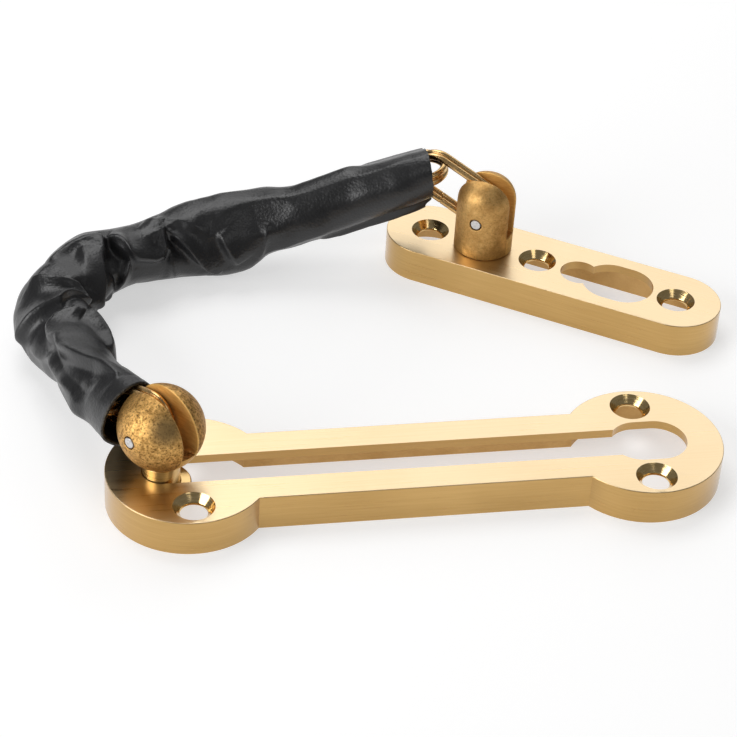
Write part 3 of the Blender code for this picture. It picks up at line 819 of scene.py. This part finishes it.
# Folds: ridges along lines of (millimetres from the ball's mouth, degrees round the sleeve), with
# their height and half width in millimetres, and how deep the leather sinks beside them. Going from
# the ball to the post, 0 degrees is on the left and 90 faces the camera. The right side of a line,
# seen from outside, is steep and has the sink; its left side is a long flank.
FOLDS = (
    # round the loop, from the ball's mouth
    (((32, 150), (33, 128), (33, 106), (31, 90), (26.5, 83), (21, 89), (15, 108), (9, 128), (3, 136)),
     1.4, 0.9, 0.7),
    (((24, 74), (17.5, 68), (10, 72), (5, 74)), -0.5, 1.4, 0.0),
    (((36, 40), (28, 43), (17, 48), (9, 58)), 0.6, 0.9, 0.2),
    (((33, 150), (30, 172), (27, 187), (22.5, 184)), 1.4, 1.0, 0.3),
    (((40, 15), (39, 60), (38.5, 95), (38.5, 122), (43, 143)), 1.0, 0.8, 0.5),
    (((41, 165), (46, 132), (47.5, 108), (46.5, 75), (47, 38)), 1.3, 0.8, 0.7),
    (((53, 28), (57, 43), (60, 52), (64, 50)), 0.6, 0.9, 0.2),
    (((60, 58), (57, 80), (53.5, 97), (49.5, 118)), 0.4, 0.9, 0.2),
    (((50, 170), (52.5, 144), (56.5, 113), (61, 85), (64, 48)), 1.4, 0.8, 0.9),
    (((65, 60), (66.5, 86), (67.5, 105), (66, 124), (62, 160)), 1.0, 0.8, 0.5),
    # the folded stretch after the loop
    (((65, 48), (67, 68), (68, 88), (70, 104), (72.5, 114), (74.6, 112), (75.8, 98), (76.2, 79), (76.3, 60)),
     1.1, 0.75, 0.7),
    (((76.3, 68), (76, 45), (74, 20)), 0.7, 1.0, 0.2),
    (((76.3, 60), (78.3, 80), (80.3, 101), (83, 130), (87, 160)), 1.1, 0.75, 0.6),
    (((76.8, 85), (76.7, 105), (76.5, 130), (77, 170)), 0.8, 0.6, 0.3),
    (((76, 30), (78.5, 45), (81.7, 68), (86, 88)), 0.4, 1.0, 0.2),
    (((88, 88), (89.2, 118), (90.2, 145)), 0.8, 0.8, 0.5),
    (((93, 150), (97, 120), (98, 95)), 0.5, 1.0, 0.2),
    # the smooth stretch up to the post
    (((88, 60), (97, 54), (110, 54), (122, 48), (130, 46)), 0.25, 1.8, 0.3),
    (((92, 156), (102, 152), (110, 146)), 0.25, 1.2, 0.3),
    (((138, 192), (128, 192), (107, 185)), 0.9, 0.5, 0.4),
    # the far side
    (((10, 225), (20, 248), (31, 268)), 0.6, 1.2, 0.3),
    (((33, 205), (35, 250), (31, 305)), 0.7, 1.1, 0.3),
    (((40, 190), (44, 240), (40, 285), (42, 340)), 0.8, 1.0, 0.4),
    (((52, 180), (52, 235), (49, 275), (55, 330)), 0.8, 1.0, 0.4),
    (((62, 175), (60, 240), (66, 280), (64, 335)), 0.7, 1.0, 0.4),
    (((70, 200), (77, 245), (74, 300)), 0.7, 1.1, 0.3),
    (((84, 205), (89, 255), (86, 310)), 0.5, 1.2, 0.3),
    (((95, 235), (108, 250), (122, 246)), 0.3, 1.8, 0.2),
)
FOLD_GAIN = 1.45
FOLD_LIMIT = 2.4                # what crossing folds add up to at the most
FOLD_SIDES = (1.1, 2.4)         # widths of the steep side and the long flank, in half widths
FOLD_ROUNDING = 1.3             # exponent of the crest: 1 is sharp, 2 is round
FOLD_ENDS = 1.6                 # a line fades out over 1 / 1.6 of its first and last segments
MOUTH_REACH = 3.3               # how far the ball's mouth stands out on the side that faces the camera
MOUTH_FLARE = 0.2               # how much it opens towards the camera there
MOUTH_TAPER = 10.0              # length over which the changes at both mouths fade out
# How far the mouth at the post stands out: all round, more at 0 degrees than at 180, and on the side
# that faces the camera; the last number is how far the end of its seam stands back.
POST_REACH = (0.8, 0.9, 0.7, 1.7)
SEAM_ANGLE = (193, 9)           # degrees round the sleeve, and half its width
RAGGED = (0.25, 0.2)            # unevenness of the cut at the ball's mouth and at the post's
RAGGED_SCALE = 3
WAVES = ((0.2, 0.26), (0.5, 0.05))      # noise scale and height of the slack between folds
# The links push the leather out in three rounds, each blurred less than the one before.
PUSH_BLURS = (50, 20, 8)
PUSH_GAIN = 1.05


def spline(points, count):
    """Catmull-Rom curve through rows of numbers, with evenly spaced samples along its first three."""
    padded = np.vstack([2 * points[0] - points[1], points, 2 * points[-1] - points[-2]])
    curve = []
    for a, b, c, d in zip(padded, padded[1:], padded[2:], padded[3:]):
        for t in np.linspace(0, 1, 20, endpoint=False):
            curve.append(0.5 * (2 * b + (c - a) * t + (2 * a - 5 * b + 4 * c - d) * t ** 2
                                + (3 * b - a - 3 * c + d) * t ** 3))
    curve = np.array(curve + [points[-1]])
    steps = np.linalg.norm(np.diff(curve[:, :3], axis=0), axis=1)
    length = np.concatenate([[0], np.cumsum(steps)])
    even = np.linspace(0, length[-1], count)
    return np.array([np.interp(even, length, column) for column in curve.T]).T, even


def sleeve_frames():
    """Centre, heading, two cross directions, half widths and running length of every ring."""
    rows, length = spline(np.array(SLEEVE), SLEEVE_RINGS)
    for _ in range(SMOOTHING):
        rows[1:-1] = (rows[:-2] + 2 * rows[1:-1] + rows[2:]) / 4
    centre, half = rows[:, :3], rows[:, 3]
    along = np.gradient(centre, axis=0)
    along /= np.linalg.norm(along, axis=1)[:, None]
    across = np.cross(along, SEEN_ALONG)
    across /= np.linalg.norm(across, axis=1)[:, None]
    depth = np.cross(along, across)
    other = np.maximum(SLEEVE_AROUND / pi - half, LEAST_HALF)
    return centre, along, across, depth, half, other, length


def fold_height(length, angle):
    """How far the folds lift the leather, in millimetres, over the whole grid."""
    lift = np.zeros((len(length), len(angle)))
    per_degree = SLEEVE_AROUND / 360
    steep_side, long_flank = FOLD_SIDES
    for line, height, width, sink in FOLDS:
        best = np.full(lift.shape, 1e9)
        share = np.zeros(lift.shape)
        steep = np.zeros(lift.shape, bool)
        runs = np.array(line, float)
        segments = len(runs) - 1
        for i, (first, second) in enumerate(zip(runs, runs[1:])):
            turn = (angle[None, :] - first[1] + 180) % 360 - 180
            px, py = np.broadcast_arrays(length[:, None] - first[0], turn * per_degree)
            step = np.array((second[0] - first[0], (second[1] - first[1]) * per_degree))
            t = np.clip((px * step[0] + py * step[1]) / (step @ step), 0, 1)
            gap = np.hypot(px - t * step[0], py - t * step[1])
            nearer = gap < best
            best = np.where(nearer, gap, best)
            share = np.where(nearer, i + t, share)
            steep = np.where(nearer, step[0] * py > step[1] * px, steep)
        taper = np.clip(np.minimum(share, segments - share) * FOLD_ENDS, 0, 1) ** 0.5
        flank = width * np.where(steep, steep_side, long_flank)
        crest = np.exp(-(best / flank) ** FOLD_ROUNDING)
        valley = steep * (best / width) ** 2 * np.exp(2 - best / width) / 4
        lift += FOLD_GAIN * taper * (height * crest - sink * valley)
    return np.where(lift > 0, FOLD_LIMIT * np.tanh(lift / FOLD_LIMIT), lift)


def link_gaps(points, clearance):
    """For each link, how far points lie outside its room and a clearance, in millimetres."""
    wire, straight, bend = (length / MM for length in (WIRE / 2, LINK_STRAIGHT, LINK_BEND))
    for number in range(1, LINKS):
        middles, axes = link_axes([f"link_{number:02d}_{letter}" for letter in "ab"])
        centre = (np.mean(middles, axis=0) - np.array(TRACK)) / MM
        local = (points - centre) @ axes.T
        beyond = np.abs(local[..., 0]) - straight
        flat = np.hypot(np.maximum(beyond, 0), local[..., 1]) - bend
        thick = np.abs(local[..., 2]) - PAIR_SPACING / MM / 2
        outside = np.hypot(np.maximum(flat, 0), np.maximum(thick, 0))
        yield outside + np.minimum(np.maximum(flat, thick), 0) - wire - clearance


def sleeve_surface():
    """Grids of outer and inner points and the centre line, in metres in the object's frame."""
    centre, along, across, depth, half, other, length = sleeve_frames()
    angle = np.arange(SLEEVE_SIDES) * 360 / SLEEVE_SIDES
    c, s = np.cos(np.radians(angle)), np.sin(np.radians(angle))
    fade = np.clip(1 - length / MOUTH_TAPER, 0, 1) ** 2
    other = other + MOUTH_FLARE * fade
    base = half[:, None, None] * c[None, :, None] * across[:, None] \
        + other[:, None, None] * s[None, :, None] * depth[:, None]
    out = base / np.linalg.norm(base, axis=2)[:, :, None]
    points = centre[:, None] + base
    ragged = np.array([noise.noise(Vector((x, y, 0)) * RAGGED_SCALE) for x, y in zip(c, s)])
    reach = MOUTH_REACH * np.maximum(s, 0) + RAGGED[0] * ragged
    points = points - (fade[:, None] * reach[None, :])[:, :, None] * along[:, None]
    fade = np.clip(1 - (length[-1] - length) / MOUTH_TAPER, 0, 1) ** 2
    seam = np.exp(-((angle - SEAM_ANGLE[0]) / SEAM_ANGLE[1]) ** 4)
    all_round, top, side, back = POST_REACH
    reach = all_round + top * c + side * np.maximum(s, 0) - back * seam + RAGGED[1] * ragged[::-1]
    points = points + (fade[:, None] * reach[None, :])[:, :, None] * along[:, None]
    waves = np.array([[sum(noise.noise(Vector(p) * scale) * height for scale, height in WAVES)
                       for p in row] for row in points])
    lift = fold_height(length, angle) + waves
    outer = points + lift[:, :, None] * out
    for blurs in PUSH_BLURS:
        push = np.zeros(lift.shape)
        for gap in link_gaps(outer, SLEEVE_WALL):
            push = np.maximum(push, -PUSH_GAIN * gap)
        for _ in range(blurs):
            push[1:-1] = (push[:-2] + 2 * push[1:-1] + push[2:]) / 4
            push = (np.roll(push, 1, axis=1) + 2 * push + np.roll(push, -1, axis=1)) / 4
        outer = outer + push[:, :, None] * out
    # one light blur, along the sleeve and round it
    outer[1:-1] = outer[1:-1] * 0.8 + 0.1 * (outer[:-2] + outer[2:])
    outer = outer * 0.8 + 0.1 * (np.roll(outer, 1, axis=1) + np.roll(outer, -1, axis=1))
    outer[..., 2] = np.maximum(outer[..., 2], 0)    # it lies on the ground, not in it
    inner = outer - SLEEVE_WALL * out
    place = np.array(TRACK)
    return outer * MM + place, inner * MM + place, centre * MM + place


def sleeve_normals(grid, outwards):
    """Normals of the whole grid, so that the cuts between the lengths don't show."""
    along = np.gradient(grid, axis=0)
    around = np.roll(grid, -1, axis=1) - np.roll(grid, 1, axis=1)
    normal = np.cross(around, along)
    normal /= np.linalg.norm(normal, axis=2)[:, :, None]
    sign = np.sign((normal * (grid - grid.mean(axis=1, keepdims=True))).sum(axis=2).mean())
    return normal * sign * (1 if outwards else -1)


def make_sleeve(materials):
    """The sleeve, cut at the middle of every link into lengths that take the place of the CAD's sleeve
    pieces.
    """
    outer, inner, centre = sleeve_surface()
    normals = (sleeve_normals(outer, True), sleeve_normals(inner, False))
    cuts = [0]
    for number in range(2, LINKS - 1):
        middle = np.array((CHAIN[number - 1] + CHAIN[number]) / 2)
        cuts.append(int(np.linalg.norm(centre - middle, axis=1).argmin()))
    cuts.append(SLEEVE_RINGS - 1)
    for number, (first, last) in enumerate(zip(cuts, cuts[1:]), start=1):
        piece = sleeve_length(f"sleeve_leather_{number:02d}", (outer, inner), normals, first, last,
                              materials)
        nodes = [f"sleeve_{number:02d}"] + ([f"sleeve_{LINKS - 1:02d}"] if number == LINKS - 2 else [])
        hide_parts(*nodes)
        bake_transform(piece)


def sleeve_length(name, grids, normals, first, last, materials):
    """One stretch of the sleeve as a mesh, with the normals of the whole.

    materials are those of the outside, the cut edges and the lining.
    """
    rows = last - first + 1
    sides = SLEEVE_SIDES
    spots = [g[first:last + 1].reshape(-1, 3) for g in grids]
    given = np.vstack([n[first:last + 1].reshape(-1, 3) for n in normals])
    faces, slots = [], []
    for wall, offset in ((0, 0), (1, rows * sides)):
        for i in range(rows - 1):
            for k in range(sides):
                a, b = offset + i * sides + k, offset + i * sides + (k + 1) % sides
                corners = (a, b, b + sides, a + sides)
                faces.append(corners if wall == 0 else corners[::-1])
                slots.append(0 if wall == 0 else 2)
    for row, is_end in ((0, first == 0), (rows - 1, last == SLEEVE_RINGS - 1)):
        if not is_end:
            continue
        for k in range(sides):
            a, b = row * sides + k, row * sides + (k + 1) % sides
            corners = (a, b, b + rows * sides, a + rows * sides)
            faces.append(corners[::-1] if row == 0 else corners)
            slots.append(1)
    mesh = bpy.data.meshes.new(name)
    mesh.from_pydata(np.vstack(spots).tolist(), [], faces)
    for item in materials:
        mesh.materials.append(item)
    mesh.polygons.foreach_set("material_index", slots)
    mesh.shade_smooth()
    mesh.update()
    mesh.normals_split_custom_set_from_vertices(given.tolist())
    made = bpy.data.objects.new(name, mesh)
    bpy.context.collection.objects.link(made)
    return made


# ---------------------------------------------------------------- camera, floor and light
def make_camera():
    """The photograph's camera, as fitted to both plates."""
    data = bpy.data.cameras.new("camera")
    data.lens = 122.1
    camera = bpy.data.objects.new("camera", data)
    camera.location = (-0.0776, -0.3628, 0.2836)
    camera.rotation_euler = (0.9195, -0.0524, -0.1611)
    bpy.context.collection.objects.link(camera)
    bpy.context.scene.camera = camera


def make_floor():
    m = Nodes("floor_white", Roughness=0.9)
    patch = m.noise(m.place(), 3.0, 2.0)
    m.set("Base Color", m.ramp(patch, (0.3, 0.55), (0.7, 0.57)))
    m.shader.inputs["Emission Color"].default_value = (1, 1, 1, 1)   # keeps the shadows light
    m.shader.inputs["Emission Strength"].default_value = 0.56
    shape = bmesh.new()
    bmesh.ops.create_grid(shape, x_segments=2, y_segments=2, size=3.0)
    floor = make_object("floor", shape, [m.material], (0, 0, -FLOOR_DROP), sharp=0)


def area_light(name, place, target, size, power, size_y=None):
    data = bpy.data.lights.new(name, "AREA")
    data.energy = power
    data.size = size
    if size_y:
        data.shape = "RECTANGLE"
        data.size_y = size_y
    lamp = bpy.data.objects.new(name, data)
    lamp.location = place
    lamp.rotation_euler = (Vector(target) - Vector(place)).to_track_quat("-Z", "Y").to_euler()
    bpy.context.collection.objects.link(lamp)


def make_lights():
    world = bpy.data.worlds.new("studio")
    bpy.context.scene.world = world
    world.use_nodes = True
    background = world.node_tree.nodes["Background"]
    background.inputs["Color"].default_value = (1, 1, 1, 1)
    background.inputs["Strength"].default_value = 0.16
    area_light("back_light", (0.28, 0.75, 0.55), (0.03, 0, 0), 0.9, 2.3, 0.65)
    area_light("key_light", (-0.14, 0.32, 0.66), (0, 0, 0), 0.40, 1.75)
    area_light("left_fill", (-0.75, -0.30, 0.34), (-0.03, 0, 0), 0.6, 5.0)
    area_light("front_fill", (0.25, -0.55, 0.75), (0, 0, 0), 0.3, 0.4)


# ---------------------------------------------------------------- assembly
def build():
    bpy.context.scene.view_settings.view_transform = "Standard"
    make_camera()
    make_floor()
    make_lights()
    steel, sawn = pin_steel(), sawn_brass()
    make_plates(polished_brass(), cast_brass())
    aged = antique_brass("aged_brass", (0.76, 0.48, 0.18), (0.50, 0.28, 0.09), 0.35, 0.4, 620.0)
    make_post(aged, steel, sawn)
    # the ball's brass carries a painted dark reflection on its front
    mottled = antique_brass("antique_brass", (0.92, 0.56, 0.19), (0.33, 0.17, 0.045), 0.9, 0.5, 1300.0,
                            BALL + BALL_PAINTED_REFLECTION)
    make_ball(mottled, steel, sawn)
    make_foot(bright_brass())
    make_links(wire_brass())
    make_sleeve([leather(), raw_edge(), lining()])


build()
